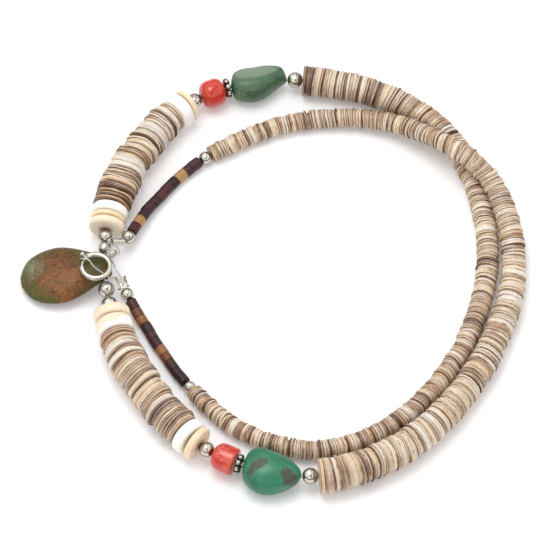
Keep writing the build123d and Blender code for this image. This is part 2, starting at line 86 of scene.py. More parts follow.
# Radii of the wire and of the beads' bores, and how much wider a bore's mouth is
WIRE_R = 0.38 / 2 * MM
BORE_R = 0.74 / 2 * MM
MOUTH = 1.25
# Lowest point of any piece above the floor
FLOOR_GAP = 0.01 * MM

# Beads outwards from the drop: name, room before the bead, length, diameter
FIRST_AT = 3.02
FRONT = {
    "right": (
        ("silver_bead_1", 0.35, 2.75, 2.75), ("silver_bead_2", 0.10, 2.9, 2.9),
        ("cream_disc_1", 0.10, 1.8, 7.7), ("cream_disc_2", 0.28, 1.05, 7.4),
        ("white_disc_1", 0.28, 2.1, 7.7), ("thick_heishi", 0.28, 26.7, 8.1),
        ("white_disc_2", 0.28, 2.85, 7.7), ("cream_disc_3", 0.28, 1.15, 7.5),
        ("silver_bead_3", 0.10, 3.1, 3.1), ("coral_bead", 0.12, 5.1, 5.9),
        ("silver_spacer", 0.34, 1.2, 4.4), ("turquoise_nugget", 0.25, 11.85, 7.5),
        ("silver_bead_4", 0.15, 3.3, 3.3),
    ),
    "left": (
        ("silver_bead_1", 0.85, 3.45, 3.45), ("silver_bead_2", 0.45, 3.35, 3.35),
        ("cream_disc_1", 0.10, 2.4, 7.8), ("white_disc_1", 0.28, 3.5, 7.8),
        ("thick_heishi", 0.33, 27.6, 7.9), ("white_disc_2", 0.40, 2.5, 7.9),
        ("cream_disc_2", 0.42, 1.6, 7.7), ("silver_bead_3", 0.10, 3.2, 3.2), ("coral_bead", 0.10, 5.1, 6.0),
        ("silver_spacer", 0.24, 1.2, 4.4), ("turquoise_nugget", 0.35, 12.43, 10.2),
        ("silver_bead_4", 0.20, 3.5, 3.5),
    ),
}
# Beads inwards from the clasp end
REAR = {
    "right": (
        ("silver_bead_6", 0.10, 2.75, 2.75), ("dark_heishi", 0.12, 23.3, 2.4),
        ("silver_bead_5", 0.10, 2.7, 2.7),
    ),
    "left": (
        ("silver_bead_6", 0.10, 2.85, 2.85), ("dark_heishi", 0.10, 23.9, 2.4),
        ("silver_bead_5", 0.10, 2.75, 2.75),
    ),
}
SIDES = {"right": 1, "left": -1}

# Diameters of the body strings: share of the length, millimetres
BODY_TAPER = {
    "right": ((0.0, 6.5), (0.06, 6.19), (0.11, 5.8), (0.16, 5.6), (0.22, 5.3), (0.27, 4.99), (0.33, 4.79),
              (0.40, 4.79), (0.50, 4.6), (0.60, 4.4), (0.74, 4.4), (0.83, 4.2), (0.91, 3.98), (1.0, 3.7)),
    "left": ((0.0, 7.7), (0.05, 7.42), (0.15, 7.02), (0.21, 6.62), (0.25, 6.3), (0.34, 6.06), (0.40, 5.66),
             (0.47, 5.18), (0.53, 4.78), (0.57, 4.46), (0.66, 4.18), (0.85, 4.06), (1.0, 3.7)),
}
THICK_END_D = {"right": 7.1, "left": 7.8}

# Kinds of shell disc: place on the shell's colour ramp, usual thickness, strength of the brown skin on a face
SHELL_KINDS = {
    "W": (0.02, 1.4, 0.3), "w": (0.06, 0.55, 0.9), "C": (0.24, 1.25, 0.4), "c": (0.30, 0.6, 0.9),
    "P": (0.34, 1.15, 0.5), "p": (0.38, 0.6, 0.9), "t": (0.52, 0.6, 0.9), "g": (0.60, 0.65, 0.8),
    "m": (0.76, 0.55, 0.9), "b": (0.95, 0.35, 1.0),
}
# The thick discs one by one, from the drop outwards
THICK_ORDER = {
    "right": "pmpcpbtgCwtwcbwWwWCppcCPwbwcwwWwtwcbwWtw",
    "left": "tptptcWgtWbtgcCgttcgtCbPCwcpWmggtcgtpgcp",
}
# Stretches of the body strings' shell, from the nugget to the clasp end
BODY_ORDER = {
    "right": (
        "cbgtbCcbcpPbwwpbctptbWcttpbgCPcbcpwbPctmtcCwbptctpgt"
        "wbwtwbmcCwtpcpWcwtpbcmtcpcPwbtwtbcpcwCbwgtcptWptccmc"
        "tpcwpmtcbpCtwbwpgcPbtcgwpCcpbctmtcpwtPccwgtcpWcbgptc"
        "gctbcPwptcCwmtpcbctcWcptbmCcgtpwctbPctmccwtbcCwptbcw"
        "tmCpgtcpwctbcPcwtmcwtcCbctwtcpWcmtwcptPbcgwbtcgwbtcp"
    ),
    "left": (
        "WcCpWpCcWCcgcwpCbcwtPWpcCccCwpPtWccCpwCbtcWCpcwCcPwC"
        "CPcCwtPcpwCctpWbcCwPbcCtwpCcpctWPccCwpccWCmcPwCtcWCc"
        "CPwpctcbPwtpcpCctpwtcCcPtpcgwctpcCpctPwpcptcCwtcPpcW"
        "ccctwCbwtcwgcpwtccwtcpwcbtpCctgccwtccptctpwbcCwtcpwc"
        "CbctwcpctPpwtcbcpctCpwctcpPctmcwtcpCwtbcpctwCcpwtctP"
    ),
}
# Colour places of the small dark beads, from the body string to the clasp
DARK_ORDER = {
    "right": (0.04, 0.08, 0.20, 0.50, 0.66, 0.16, 0.22, 0.12, 0.62, 0.46, 0.20),
    "left": (0.20, 0.18, 0.84, 0.03, 0.22, 0.26, 0.14, 0.20, 0.12, 0.80, 0.22),
}

# Turquoise nuggets: height, squareness of the section, tilt and height of the worn flat, and rows with the
# share of the length, of the width and of the height, and the sideways shift and the lift as shares of the
# width
NUGGETS = {
    "right": (6.45, 2.35, 26.0, 2.5, (
        (0.0, 0.54, 0.60, -0.02, 0.0), (0.10, 0.78, 0.86, 0.0, 0.0), (0.25, 0.97, 0.99, 0.01, 0.0),
        (0.40, 1.0, 1.0, 0.0, 0.0), (0.60, 0.92, 0.96, 0.06, 0.0), (0.75, 0.74, 0.84, 0.11, 0.01),
        (0.90, 0.51, 0.64, 0.14, 0.02), (1.0, 0.34, 0.44, 0.10, 0.03))),
    "left": (7.1, 2.2, 0.0, 9.0, (
        (0.0, 0.52, 0.54, 0.0, 0.0), (0.08, 0.71, 0.70, -0.01, 0.0), (0.20, 0.92, 0.90, -0.03, 0.0),
        (0.36, 1.0, 1.0, -0.05, 0.0), (0.55, 0.93, 0.96, -0.05, 0.0), (0.74, 0.71, 0.81, -0.05, 0.0),
        (0.90, 0.43, 0.56, -0.03, 0.0), (1.0, 0.20, 0.32, 0.0, 0.0))),
}


# Line of the strand

def unit(vectors):
    """The same directions with a length of 1."""
    return vectors / np.linalg.norm(vectors, axis=-1, keepdims=True)


def square_to(along):
    """Level and upward directions square to a direction of travel."""
    level = unit(np.cross((0.0, 0.0, 1.0), along))
    return level, np.cross(along, level)


class Strand:
    """A quadratic NURBS line through space with its places and directions by distance along it."""

    def __init__(self, points):
        curve = bpy.data.curves.new("strand_line", "CURVE")
        curve.dimensions = "3D"
        curve.resolution_u = 20
        spline = curve.splines.new("NURBS")
        spline.points.add(len(points) - 1)
        control = np.ones((len(points), 4))
        control[:, :3] = np.array(points) * MM
        spline.points.foreach_set("co", control.ravel())
        spline.order_u = 3
        spline.use_endpoint_u = True
        holder = bpy.data.objects.new("strand_line", curve)
        mesh = bpy.data.meshes.new_from_object(holder)
        places = np.empty(len(mesh.vertices) * 3)
        mesh.vertices.foreach_get("co", places)
        self.places = places.reshape(-1, 3)
        bpy.data.objects.remove(holder)
        bpy.data.curves.remove(curve)
        bpy.data.meshes.remove(mesh)
        steps = np.linalg.norm(np.diff(self.places, axis=0), axis=1)
        self.marks = np.concatenate(([0.0], np.cumsum(steps)))
        self.length = self.marks[-1]
        self.slopes = unit(np.gradient(self.places, self.marks, axis=0))

    def nearest(self, point):
        """Distance along the line of its place nearest to a point."""
        return self.marks[np.argmin(np.linalg.norm(self.places - np.array(point) * MM, axis=1))]

    def at(self, distance, way=1):
        """Place, level direction, upward direction and direction of travel at distances along the line."""
        place, along = (np.stack([np.interp(distance, self.marks, column) for column in table.T], -1)
                        for table in (self.places, self.slopes))
        along = unit(along * way)
        return place, *square_to(along), along


strand = Strand(ROUTE)
HOLE_AT = strand.nearest(ROUTE[DROP_POINT])


def bead_places():
    """Start, end and diameter of every bead in metres from the drop's hole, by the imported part's names."""
    places = {}
    for word, side in SIDES.items():
        at = FIRST_AT
        for name, gap, length, diameter in FRONT[word]:
            at += gap
            places[f"{word}_{name}"] = (at * MM, (at + length) * MM, diameter * MM)
            at += length
        end = (strand.length - HOLE_AT if side > 0 else HOLE_AT) / MM
        for name, gap, length, diameter in REAR[word]:
            end -= gap + length
            places[f"{word}_{name}"] = (end * MM, (end + length) * MM, diameter * MM)
        places[f"{word}_body_heishi"] = ((at + 0.1) * MM, (end - 0.1) * MM, 0.0)
    return places


BEADS = bead_places()


def side_of(node):
    """+1 or -1 for the half of the strand that a bead is on."""
    return SIDES[node.split("_")[0]]


def seat(node):
    """A rigid bead's middle and its three directions, from the wire's places at its two ends."""
    start, end, _ = BEADS[node]
    side = side_of(node)
    first, *_ = strand.at(HOLE_AT + side * start)
    last, *_ = strand.at(HOLE_AT + side * end)
    along = unit(last - first)
    return (first + last) / 2, *square_to(along), along


# Meshes

def circle(sides):
    """Angles of the corners round a bead."""
    return np.arange(sides) / sides * 2 * np.pi


def round_line(place, level, up, turn, radius):
    """Points round a line, rows by columns: place + radius * (cos t * level + sin t * up)."""
    cos, sin = np.cos(turn)[None, :, None], np.sin(turn)[None, :, None]
    return place + radius[..., None] * (cos * level + sin * up)


def grid_faces(rows, columns, close_rows):
    """Four-cornered faces of a grid of points, row by row. Its columns close, and its rows where asked."""
    row, column = np.meshgrid(np.arange(rows if close_rows else rows - 1), np.arange(columns), indexing="ij")
    next_row, next_column = (row + 1) % rows, (column + 1) % columns
    return np.stack([row * columns + column, row * columns + next_column,
                     next_row * columns + next_column, next_row * columns + column], -1).reshape(-1, 4)


def make_piece(node, form, points, material, marks=None, flip=True, capped=False, smooth_under=180.0):
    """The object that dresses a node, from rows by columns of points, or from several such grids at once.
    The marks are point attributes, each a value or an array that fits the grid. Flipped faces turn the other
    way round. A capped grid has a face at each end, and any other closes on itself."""
    *count, rows, sides, _ = points.shape
    faces = grid_faces(rows, sides, not capped)
    if flip:
        faces = faces[:, ::-1]
    if count:
        faces = (faces[None] + np.arange(count[0])[:, None, None] * rows * sides).reshape(-1, 4)
    faces = faces.tolist()
    if capped:
        faces += [list(range(sides)), list(range((rows - 1) * sides, rows * sides))[::-1]]
    places = points.reshape(-1, 3)
    places[:, 2] = np.maximum(places[:, 2], FLOOR_GAP)
    mesh = bpy.data.meshes.new(f"{node}_{form}")
    mesh.from_pydata(places.tolist(), [], faces)
    for word, values in (marks or {}).items():
        values = np.broadcast_to(values, points.shape[:-1]).astype(np.float32)
        mesh.attributes.new(word, "FLOAT", "POINT").data.foreach_set("value", values.ravel())
    mesh.materials.append(material)
    mesh.validate()
    mesh.update()
    mesh.shade_smooth()
    if smooth_under < 180.0:
        mesh.set_sharp_from_angle(angle=math.radians(smooth_under))
    piece = bpy.data.objects.new(mesh.name, mesh)
    bpy.context.scene.collection.objects.link(piece)
    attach(piece, "necklace")
    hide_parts(node)


def dress(node, material):
    """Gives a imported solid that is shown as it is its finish."""
    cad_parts[node].material_slots[0].material = material


def turned(node, profile, sides, wobble, seed):
    """A bead turned round its own axis: place = middle + along * a + radius * (cos t * level + sin t * up).
    The profile is a closed loop of (a, radius) pairs in metres, and the radius swells and shrinks by a
    few low waves round the bead. Points come as rows of the profile by columns round the axis."""
    middle, level, up, along = seat(node)
    rng = np.random.default_rng(seed)
    turn = circle(sides)
    reach, radius = np.array(profile).T[..., None]
    widest = radius.max()
    waves = sum(rng.normal() / m * np.cos(m * turn + rng.uniform(0, 2 * np.pi)) for m in (2, 3, 4))
    outer = np.clip((radius - BORE_R) / (widest - BORE_R), 0, 1)
    reach = reach + wobble * rng.normal() * outer * widest * np.cos(turn + rng.uniform(0, 6))
    radius = radius * (1 + wobble * outer * waves)
    return round_line(middle + reach[..., None] * along, level, up, turn, radius)


def disc_profile(length, radius, rim):
    """Closed section of a drilled disc: bore, flat face, quarter-round rim, and the same back again."""
    half = [(-length / 2, BORE_R)]
    half += [(-length / 2 + rim * (1 - math.cos(a)), radius - rim + rim * math.sin(a))
             for a in np.linspace(0, np.pi / 2, 5)]
    return np.array(half + [(-a, r) for a, r in reversed(half)])


def barrel_profile(length, radius, near, far):
    """Closed section of a drilled barrel bead whose two ends are rounded by their own radii."""
    bend = np.linspace(0, np.pi / 2, 7)
    lip, deep = length / 2 - 0.08 * near, length / 2 - 0.3 * near
    section = [(-lip, MOUTH * BORE_R)]
    section += [(-length / 2 + near * (1 - math.cos(a)), radius - near + near * math.sin(a)) for a in bend]
    section += [(length / 2 - far * (1 - math.sin(a)), radius - far + far * math.cos(a)) for a in bend]
    return np.array(section + [(lip, MOUTH * BORE_R), (deep, BORE_R), (-deep, BORE_R)])


def through(at, knots, values):
    """Smooth curve through a table's values: cubic spans that share their neighbours' mean slope."""
    slopes = np.gradient(values, knots)
    span = np.clip(np.searchsorted(knots, at, side="right") - 1, 0, len(knots) - 2)
    width = knots[span + 1] - knots[span]
    t = (at - knots[span]) / width
    return ((1 + 2 * t) * (1 - t) ** 2 * values[span] + t * (1 - t) ** 2 * width * slopes[span]
            + t ** 2 * (3 - 2 * t) * values[span + 1] + t ** 2 * (t - 1) * width * slopes[span + 1])


def rounded(share, reach):
    """Quarter circle that rises from 0 at an end to 1 at a reach from it."""
    return np.sqrt(np.clip(1 - np.clip(1 - share / reach, 0, 1) ** 2, 0, 1))


def pebble(node, rows=90, sides=88, near=0.07, far=0.06, waves=0.012, wear=0.86, into_bore=0.25 * MM):
    """A drilled pebble: at each share t of its length a superellipse |x|^n + |z|^n = 1 of the table's width
    and height, rounded off at both ends as a quarter circle is, with low waves cos(k angle) * sin(m pi t) on
    it. What stands above the plane x sin(tilt) + z cos(tilt) = flat is worn down to it, and the second array
    tells how much in millimetres. The first and last rows lie in the bore."""
    height, squareness, tilt, flat, table = NUGGETS[node.split("_")[0]]
    start, end, diameter = BEADS[node]
    middle, level, up, along = seat(node)
    rng = np.random.default_rng(90 + side_of(node))
    t = (1 - np.cos(np.linspace(0, np.pi, rows))) / 2
    knots, *columns = np.array(table).T
    cap = rounded(t, near) * rounded(1 - t, far)
    wide, high, shift, lift = (through(t, knots, column) * cap for column in columns)
    turn = circle(sides)
    half_w = np.maximum(wide * diameter / 2, BORE_R)[:, None]
    half_h = np.maximum(high * height * MM / 2, BORE_R)[:, None]
    swell = 1 + waves * sum(rng.normal() * np.cos(k * turn + rng.uniform(0, 6))[None, :]
                            * np.sin((m * np.pi) * t)[:, None] for k in (1, 2, 3, 5) for m in (1, 2, 3))
    x = half_w * swell * np.sign(np.cos(turn)) * np.abs(np.cos(turn)) ** (2 / squareness)
    z = half_h * swell * np.sign(np.sin(turn)) * np.abs(np.sin(turn)) ** (2 / squareness)
    x = x + (shift * diameter)[:, None]
    z = z + (lift * diameter)[:, None]
    sideways, upwards = math.sin(math.radians(tilt)), math.cos(math.radians(tilt))
    above = np.maximum(x * sideways + z * upwards - flat * MM, 0)
    bore_x, bore_z = BORE_R * np.cos(turn)[None], BORE_R * np.sin(turn)[None]
    x = np.concatenate((bore_x, x - wear * above * sideways, bore_x))
    z = np.concatenate((bore_z, z - wear * above * upwards, bore_z))
    reach = (t - 0.5) * (end - start)
    reach = np.concatenate((reach[:1] + into_bore, reach, reach[-1:] - into_bore))[:, None, None]
    points = middle + reach * along + x[..., None] * level + z[..., None] * up
    return points, np.pad(above, ((1, 1), (0, 0))) / MM


def threaded(word, starts, thick, radii, section, sides, warp, drift, lean, chips, seed):
    """Discs threaded on the strand, all in one array of discs, section rows and sides.
    A point is centre(s) + radius * (cos t * level + sin t * up), where s runs through the disc's thickness
    with the strand's own bend. s gets a slow tilt and saddle, warp * (cos(t + a s) + cos(2t + b s)), that
    neighbours share and that dies out at the string's ends, and the radius small chips, sums of cos(k t)."""
    rng = np.random.default_rng(seed)
    count = len(starts)
    turn = circle(sides) + rng.uniform(0, 6.28, count)[:, None, None]
    depth = starts[:, None] + thick[:, None] * section[None, :, 0]
    share = section[None, :, 1]
    reach = (BORE_R + (radii[:, None] - BORE_R) * share)[..., None]
    for k in (2, 3, 5, 7):
        push = (chips * rng.normal(size=count) * radii)[:, None] * share
        reach = reach + push[..., None] * np.cos(k * turn + rng.uniform(0, 6, count)[:, None, None])
    slow = depth / (6 * MM)
    wave = (np.cos(2 * turn + slow[..., None]) * np.sin(0.7 * slow + seed)[..., None]
            + 0.9 * np.cos(turn + 1.6 * slow[..., None]) * np.cos(0.45 * slow + 2 * seed)[..., None])
    fade = np.clip(np.minimum(depth - starts[0], starts[-1] + thick[-1] - depth) / (2.5 * MM), 0, 1)
    run = depth[..., None] + warp * wave * (share ** 2 * fade)[..., None]
    run += lean * rng.normal(size=count)[:, None, None] * np.cos(turn + 0.5) * share[..., None]
    place, level, up, _ = strand.at(HOLE_AT + SIDES[word] * run, SIDES[word])
    shift = np.clip(rng.normal(size=(count, 2)), -1.8, 1.8) * drift
    wide = reach * np.cos(turn) + shift[:, 0][:, None, None] * (share > 0)[..., None]
    high = reach * np.sin(turn) + shift[:, 1][:, None, None] * (share > 0)[..., None]
    return place + wide[..., None] * level + high[..., None] * up


def string_piece(word, what, discs, radii, section, material, **fit):
    """One object of all the discs of a string, with the attributes that its finish reads."""
    starts, thick, kinds, layers = discs
    section = np.array(section)
    rng = np.random.default_rng(len(starts) + len(section))
    marks = {
        "kind": kinds[:, None, None],
        "layer": layers[:, None, None],
        "depth": section[None, :, :1] * thick[:, None, None] / MM,
        "chance": rng.uniform(size=len(starts))[:, None, None],
    }
    points = threaded(word, starts, thick, radii, section, **fit)
    make_piece(f"{word}_{what}", "discs", points, material, marks, flip=SIDES[word] > 0, smooth_under=38.0)


def shell_string(order, start, end, gap, seed, spread=0.3):
    """Starts, thicknesses, colour places and layer strengths of shell discs that fill a stretch of the
    strand, with the share of the stretch at each disc's middle."""
    rng = np.random.default_rng(seed)
    kinds, thick, layers = np.array([SHELL_KINDS[letter] for letter in order]).T
    thick = thick * rng.uniform(1 - spread, 1 + spread, len(thick))
    gaps = gap * np.where(rng.uniform(size=len(thick) - 1) < 0.15, 2.6, 1.0)
    thick = thick / thick.sum() * (end - start - gaps.sum())
    starts = start + np.concatenate(([0.0], np.cumsum(thick[:-1] + gaps)))
    kinds = np.clip(kinds + rng.uniform(-0.06, 0.06, len(kinds)), 0, 1)
    layers = layers * rng.uniform(0.3, 1.0, len(layers))
    return (starts, thick, kinds, layers), (starts + thick / 2 - start) / (end - start)


def squeezed_tube(rows=16, sides=48, wall=0.16, half_width=1.05, half_height=0.50, length=2.3):
    """The crimp pinched flat round two wires: at each share t of its length a flattened ring
    x = w(t) cos a, y = h(t) sin a, both wider at the ends, its wall pleated by cos(9 a), outer rows first
    and then the inner ones back."""
    leg, leg_next, other_leg = (np.array(RING_LOOP[i]) for i in (0, 1, -1))
    along, across = unit(leg_next - leg), unit(other_leg - leg)
    upright = np.cross(along, across)
    rng = np.random.default_rng(17)
    t = np.concatenate((np.linspace(0, 1, rows), np.linspace(1, 0, rows)))[:, None]
    inner = (np.arange(2 * rows) >= rows)[:, None] * wall
    turn = circle(sides)[None]
    flare = 0.16 * np.abs(2 * t - 1) ** 3
    pleat = 0.055 * np.cos(9 * turn + 2.5 * t) + 0.05 * np.cos(5 * turn - 7 * t + rng.uniform(0, 6))
    x = (half_width + flare + pleat - inner) * np.cos(turn)
    y = (half_height + flare + 0.8 * pleat * (1 - inner) - inner) * np.sin(turn)
    run = length * t - 0.15 + 0.25 * np.sin(3 * turn + 1) * (t - 0.5)
    middle = (leg + other_leg) / 2 + run[..., None] * along
    return (middle + x[..., None] * across + y[..., None] * upright) * MM


# Shader building

class Sock:
    """A value socket in shader maths: the operators add Math nodes."""

    def __init__(self, finish, socket):
        self.finish = finish
        self.socket = socket

    def math(self, operation, first, second=None):
        """The result of a Math node with one or two inputs."""
        inputs = {0: first} if second is None else {0: first, 1: second}
        return self.finish.add("ShaderNodeMath", inputs, operation=operation)

    def __add__(self, other):
        return self.math("ADD", self, other)

    __radd__ = __add__

    def __mul__(self, other):
        return self.math("MULTIPLY", self, other)

    __rmul__ = __mul__

    def __sub__(self, other):
        return self.math("SUBTRACT", self, other)

    def __rsub__(self, other):
        return self.math("SUBTRACT", other, self)

    def abs(self):
        return self.math("ABSOLUTE", self)

    def ramp(self, low, high):
        """0 below low, 1 above high, smooth between; high may be the lower one."""
        values = {"Value": self, "From Min": low, "From Max": high}
        return self.finish.add("ShaderNodeMapRange", values, interpolation_type="SMOOTHSTEP")


class Nodes:
    """A node tree with one method that adds any node."""

    def __init__(self, owner):
        owner.use_nodes = True
        self.tree = owner.node_tree
        self.tree.nodes.clear()

    def plug(self, socket, value):
        """Links a socket to another one or gives it a plain value."""
        if isinstance(value, Sock):
            self.tree.links.new(value.socket, socket)
        elif socket.type == "RGBA" and len(value) == 3:
            socket.default_value = (*value, 1.0)
        else:
            socket.default_value = value

    def add(self, kind, inputs=None, output=0, **settings):
        """A node of one kind: its settings first, then its sockets' values or links."""
        node = self.tree.nodes.new(kind)
        for name, value in settings.items():
            setattr(node, name, value)
        for key, value in (inputs or {}).items():
            self.plug(node.inputs[key], value)
        return Sock(self, node.outputs[output])

    def palette(self, place, *stops):
        """Colour at a place on a ramp whose stops are places and colours."""
        color = self.add("ShaderNodeValToRGB", {"Fac": place})
        elements = color.socket.node.color_ramp.elements
        elements.remove(elements[0])
        for i, (at, shade) in enumerate(stops):
            element = elements.new(at) if i else elements[0]
            element.position = at
            element.color = (*shade, 1.0)
        return color

    def vector(self, *parts):
        """A place put together from three values."""
        return self.add("ShaderNodeCombineXYZ", dict(enumerate(parts)))

    def measure(self, operation, first, second):
        """A value taken from two vectors, such as their distance."""
        return self.add("ShaderNodeVectorMath", {0: first, 1: second}, output="Value", operation=operation)

    def mix(self, factor, first, second, **settings):
        """Colour between two colours, which a Mix node takes in at 6 and 7 and gives out at 2."""
        inputs = {0: factor, 6: first, 7: second}
        return self.add("ShaderNodeMix", inputs, output=2, data_type="RGBA", **settings)

    def multiply(self, factor, first, second):
        """Colour darkened by another one."""
        return self.mix(factor, first, second, blend_type="MULTIPLY")

    def layered(self, color, *coats):
        """Colour under coats, each an amount and a colour, from the lowest to the top one."""
        for amount, shade in coats:
            color = self.mix(amount, color, shade)
        return color

    def end(self, kind, shader):
        """Ends the tree in its output node."""
        output = self.tree.nodes.new(kind)
        self.tree.links.new(shader.socket, output.inputs["Surface"])


class Finish(Nodes):
    """A material's nodes, on the object's own coordinates."""

    def __init__(self, name):
        self.material = bpy.data.materials.new(name)
        super().__init__(self.material)
        self.place = self.add("ShaderNodeTexCoord", output="Object")

    def mark(self, name):
        """A point attribute of the piece."""
        return self.add("ShaderNodeAttribute", output="Fac", attribute_name=name)

    def noise(self, per_mm, detail, rough=0.55, twist=0.0):
        """Cloudy noise from 0 to 1, so many waves to the millimetre."""
        return self.noise_on(self.place, per_mm / MM, detail, rough, twist)

    def noise_on(self, where, scale, detail, rough=0.5, twist=0.0):
        """Cloudy noise from 0 to 1 over any coordinates."""
        values = {"Vector": where, "Scale": scale, "Detail": detail, "Roughness": rough, "Distortion": twist}
        return self.add("ShaderNodeTexNoise", values)

    def bump(self, height, depth_mm):
        """Normal of a surface with fine relief of so many millimetres."""
        return self.add("ShaderNodeBump", {"Height": height, "Distance": depth_mm * MM}, output="Normal")

    def surface(self, values):
        """Ends the tree in a Principled surface with these socket values."""
        self.end("ShaderNodeOutputMaterial", self.add("ShaderNodeBsdfPrincipled", values))
        return self.material

    def spot(self, center, radius, ragged, waves, soft=0.1):
        """1 inside a ragged patch round a place in millimetres, 0 outside it."""
        gap = self.measure("DISTANCE", self.place, [v * MM for v in center])
        stray = (self.noise(waves, 4.0, 0.6) - 0.5) * (2 * ragged)
        return (gap * (1 / (radius * MM)) + stray).ramp(1 + soft, 1 - soft)


def tint(red, green, blue):
    """Linear colour of an sRGB colour given from 0 to 255."""
    parts = np.array((red, green, blue)) / 255
    return tuple(np.where(parts <= 0.04045, parts / 12.92, ((parts + 0.055) / 1.055) ** 2.4).tolist())


def shell_finish(name, shell, relief, streaks):
    """Satin shell: each disc its own colour, thin wavy layers round the rim, a brown skin, cloudy patches."""
    finish = Finish(name)
    kind, layer, chance, depth = (finish.mark(word) for word in ("kind", "layer", "chance", "depth"))
    cloud, grain, slow = finish.noise(0.40, 2.0), finish.noise(1.7, 4.0, 0.6), finish.noise(0.11, 1.0)
    # Layers lie flat in the disc, so their noise runs through its depth and only drifts round the rim
    level = finish.vector(depth * 2.6 + cloud * 2.2, chance * 90.0, cloud * 1.5)
    strata, hue = finish.noise_on(level, 1.0, 3.0, 0.6), finish.noise_on(level, 0.4, 1.0)
    tone = kind + 0.02 + (cloud - 0.5) * 0.50 + (strata - 0.5) + (slow - 0.5) * 0.90
    color = finish.palette(
        tone, (0.00, shell.white), (0.22, shell.cream), (0.40, shell.peach), (0.54, shell.tan),
        (0.66, shell.grey), (0.80, shell.mauve), (1.00, shell.brown))
    streak = strata.ramp(0.54, 0.62) * grain.ramp(0.30, 0.52) * streaks
    # Warm bands, cool bands, darker colour where the fine grain's relief is low, and dark streaks
    for amount, shade in ((hue.ramp(0.48, 0.62) * 0.85, (0.97, 0.83, 0.68)),
                          (hue.ramp(0.50, 0.36) * 0.8, (0.88, 0.84, 0.90)),
                          (grain.ramp(0.56, 0.38) * 0.45, (0.80, 0.75, 0.70)), (streak, (0.48, 0.33, 0.21))):
        color = finish.multiply(amount, color, shade)
    skin = (depth + (cloud - 0.5) * 0.25 + (grain - 0.5) * 0.12).ramp(0.22, 0.13)
    color = finish.mix(skin * layer * grain.ramp(0.20, 0.42), color, shell.line)
    return finish.surface({
        "Base Color": color, "Roughness": 0.36 + grain * 0.24, "IOR": 1.53, "Subsurface Weight": 0.10,
        "Subsurface Radius": (1.0, 0.6, 0.4), "Subsurface Scale": 0.4 * MM,
        "Normal": finish.bump(strata * 0.6 + grain * 0.5, relief)})


def silver_finish(name, metal, rough, dents, tarnish, hollows=False):
    """Polished silver with soft dents, tarnished in patches and in the hollows that a piece marks."""
    finish = Finish(name)
    cloud, fine = finish.noise(0.55, 2.0, 0.5), finish.noise(4.0, 3.0, 0.6)
    dark = (cloud + (fine - 0.5) * 0.4).ramp(0.40, 0.30) * tarnish
    if hollows:
        dark = 1.0 - (1.0 - finish.mark("hollow").ramp(0.25, 0.75)) * (1.0 - dark)
    return finish.surface({
        "Base Color": finish.mix(dark, metal.silver, metal.tarnish), "Metallic": 1.0,
        "Roughness": rough + fine * 0.12 + dark * 0.25, "Specular Tint": (0.30, 0.29, 0.27),
        "Normal": finish.bump(cloud + fine * 0.05, dents)})


# Settings

def color_property(name, words, *parts):
    """A colour setting, given as sRGB from 0 to 255."""
    return FloatVectorProperty(name=name, description=words, default=tint(*parts), size=3, min=0, max=1,
                               subtype="COLOR")


def size_property(name, words, millimetres):
    """A length setting, given in millimetres."""
    return FloatProperty(name=name, description=words, default=millimetres * MM, min=0, unit="LENGTH",
                         subtype="DISTANCE", precision=5)


class ShellSettings(bpy.types.PropertyGroup):
    """Colours of the shell and the fit of the discs on the strand."""
    white: color_property("White", "Whitest shell", 231, 224, 212)
    cream: color_property("Cream", "Cream shell", 224, 208, 182)
    peach: color_property("Peach", "Peach-coloured shell", 202, 182, 158)
    disc_cream: color_property("Disc cream", "Cream of the large discs", 238, 220, 195)
    disc_white: color_property("Disc white", "White of the large discs", 248, 245, 240)
    tan: color_property("Tan", "Tan shell", 186, 158, 130)
    grey: color_property("Grey", "Grey-beige shell", 154, 140, 126)
    mauve: color_property("Mauve", "Mauve-grey shell", 126, 101, 92)
    brown: color_property("Brown", "Brown shell", 92, 66, 46)
    line: color_property("Layer", "Dark brown layer between the discs", 102, 62, 32)
    body_gap: size_property("Body gap", "Room between the thin discs", 0.04)
    thick_gap: size_property("Thick gap", "Room between the thick discs", 0.06)
    body_drift: size_property("Body drift", "How far a thin disc sits off the wire's line", 0.10)
    thick_drift: size_property("Thick drift", "How far a thick disc sits off the wire's line", 0.17)
    sides: IntProperty(name="Sides", description="Corners of a thin disc", default=14, min=8, max=24)


class StoneSettings(bpy.types.PropertyGroup):
    """Colours of the coral, the turquoise and the drop."""
    coral: color_property("Coral", "Polished coral", 196, 46, 30)
    coral_pale: color_property("Pale coral", "Cloudy patches in the coral", 216, 92, 64)
    green: color_property("Green turquoise", "Bright nugget", 30, 122, 88)
    grey_green: color_property("Grey turquoise", "Dull nugget", 66, 104, 72)
    matrix: color_property("Matrix", "Brown patches in the turquoise", 66, 54, 40)
    drop_green: color_property("Drop green", "Olive green of the drop", 78, 84, 40)
    drop_rust: color_property("Drop rust", "Orange-brown middle of the drop", 150, 90, 44)
    drop_brown: color_property("Drop brown", "Rust brown of the drop", 101, 64, 33)


class MetalSettings(bpy.types.PropertyGroup):
    """Colours of the silver and the wire."""
    silver: color_property("Silver", "Polished silver", 208, 203, 192)
    tarnish: color_property("Tarnish", "Dark hollows of the silver", 74, 68, 60)
    steel: color_property("Wire", "Beading wire", 206, 203, 198)


